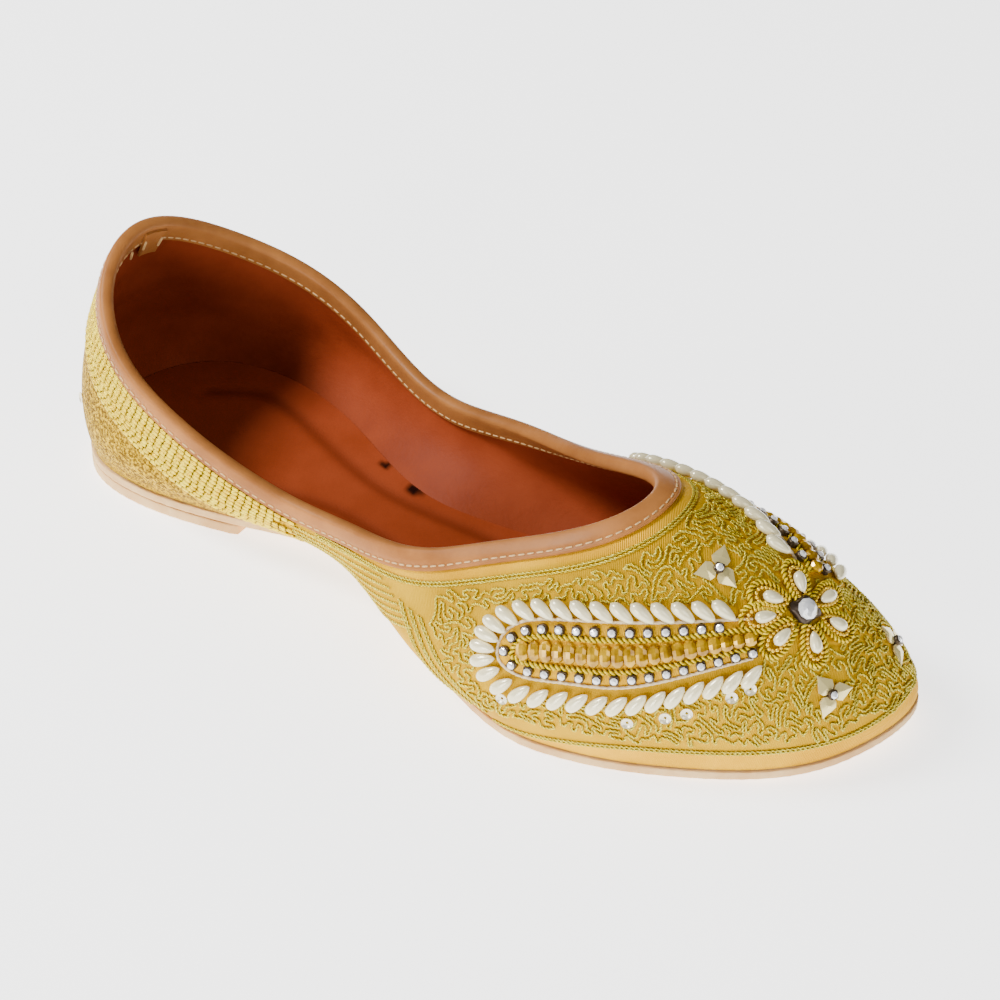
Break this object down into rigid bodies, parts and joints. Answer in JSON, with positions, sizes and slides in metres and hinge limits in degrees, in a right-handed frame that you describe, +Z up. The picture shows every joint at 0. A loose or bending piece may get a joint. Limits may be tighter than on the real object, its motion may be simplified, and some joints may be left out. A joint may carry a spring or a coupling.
{
  "type": "mojari shoe",
  "caption": "Flat slip-on shoe for the right foot, with a rounded-point toe, a low cut collar and a gold fabric upper that carries beaded leaves, a flower and mirrors.",
  "frame": {"origin": "middle of the bounding box's underside, on the floor", "axes": "+X towards the toe, +Y towards the inner side of the right foot, +Z up from the floor"},
  "size_m": [0.243, 0.0916, 0.0659],
  "materials": {
    "gold_fabric": "woven, with a metallic sheen",
    "tan_leather": "smooth, satin",
    "brown_leather": "smooth, satin",
    "sole_leather": "raw, matt",
    "pearl": "pearly gloss",
    "amber_bead": "translucent gloss",
    "gold_cord": "twisted metallic thread",
    "cut_stone": "cut and foiled",
    "mirror": "mirror"
  },
  "bodies": {
    "root": {"upper": "gold_fabric", "topline_binding": "tan_leather", "insole": "brown_leather", "outsole": "sole_leather", "heel_lift": "sole_leather", "leaf_pearls_near": "pearl", "leaf_pearls_far": "pearl", "leaf_centre_near": "amber_bead", "leaf_centre_far": "amber_bead", "flower": "gold_cord", "flower_stone": "cut_stone", "mirror_centre": "mirror", "mirror_toe_near": "mirror", "mirror_toe_far": "mirror"}
  },
  "joints": []
}
